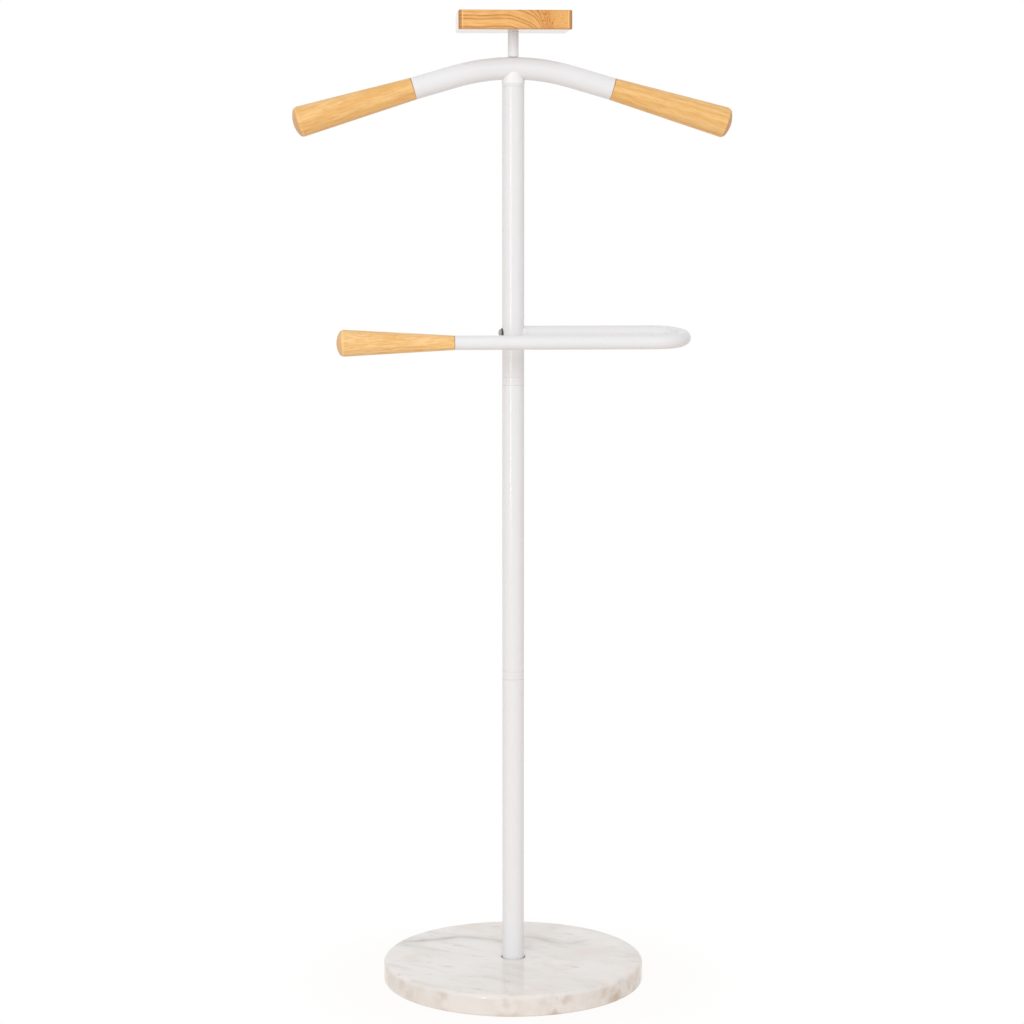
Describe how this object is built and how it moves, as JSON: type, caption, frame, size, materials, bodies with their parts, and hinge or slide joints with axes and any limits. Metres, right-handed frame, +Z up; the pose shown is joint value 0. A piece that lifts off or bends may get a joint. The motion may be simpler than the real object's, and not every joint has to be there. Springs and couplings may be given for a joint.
{
  "type": "valet stand",
  "caption": "Free-standing valet stand: round marble base, white steel pole, coat hanger with turned wooden shoulders, tilting trouser bar with a wooden handle, and a small tray on top.",
  "frame": {"origin": "on the floor, under the pole's axis", "axes": "+Z up along the pole; X along the hanger and the trouser bar, with the bar's bend towards +X; the stand faces -Y"},
  "size_m": [0.4928, 0.3, 1.1078],
  "materials": {
    "white_powder_coat": "satin white powder coat on steel",
    "white_plastic": "moulded white plastic",
    "turned_wood": "turned, clear-lacquered hardwood",
    "tray_wood": "planed, clear-lacquered hardwood",
    "marble": "polished white marble with grey veins",
    "foam_pad": "black EVA foam",
    "black_rubber": "moulded black rubber",
    "bright_steel": "bright nickel-plated steel",
    "zinc_steel": "zinc-plated steel"
  },
  "bodies": {
    "stand": {"base_pad": "foam_pad", "marble_base": "marble", "base_washer": "zinc_steel", "base_bolt": "zinc_steel", "foot_insert": "zinc_steel", "lower_pole_tube": "white_powder_coat", "lower_joint_lower_insert": "white_powder_coat", "lower_joint_stud": "zinc_steel", "lower_joint_upper_insert": "white_powder_coat", "middle_pole_tube": "white_powder_coat", "upper_joint_lower_insert": "white_powder_coat", "upper_joint_stud": "zinc_steel", "upper_joint_upper_insert": "white_powder_coat", "upper_pole_tube": "white_powder_coat", "bar_bolt": "bright_steel", "bar_bolt_washer": "black_rubber", "bar_spacer": "white_plastic", "pole_top_plug": "white_powder_coat", "top_stud": "zinc_steel", "tray_post": "white_powder_coat", "tray_washer": "bright_steel", "tray_screw": "bright_steel"},
    "hanger": {"hanger_saddle": "white_plastic", "hanger_tube": "white_powder_coat", "left_hanger_handle": "turned_wood", "right_hanger_handle": "turned_wood"},
    "tray": {"tray_shell": "white_powder_coat", "tray_front": "tray_wood", "tray_front_screws": "bright_steel"},
    "trouser_bar": {"trouser_bar_tube": "white_powder_coat", "bar_insert": "zinc_steel", "trouser_bar_handle": "turned_wood"}
  },
  "joints": [
    {"name": "hanger_swivel", "type": "hinge", "parent": "stand", "child": "hanger", "pos_m": [0, 0, 1.029], "axis": [0, 0, 1], "continuous": true},
    {"name": "tray_swivel", "type": "hinge", "parent": "stand", "child": "tray", "pos_m": [0, 0, 1.08695], "axis": [0, 0, 1], "continuous": true},
    {"name": "trouser_bar_tilt", "type": "hinge", "parent": "stand", "child": "trouser_bar", "pos_m": [0.0155, 0, 0.7513], "axis": [1, 0, 0], "range_deg": [-76, 64]}
  ]
}
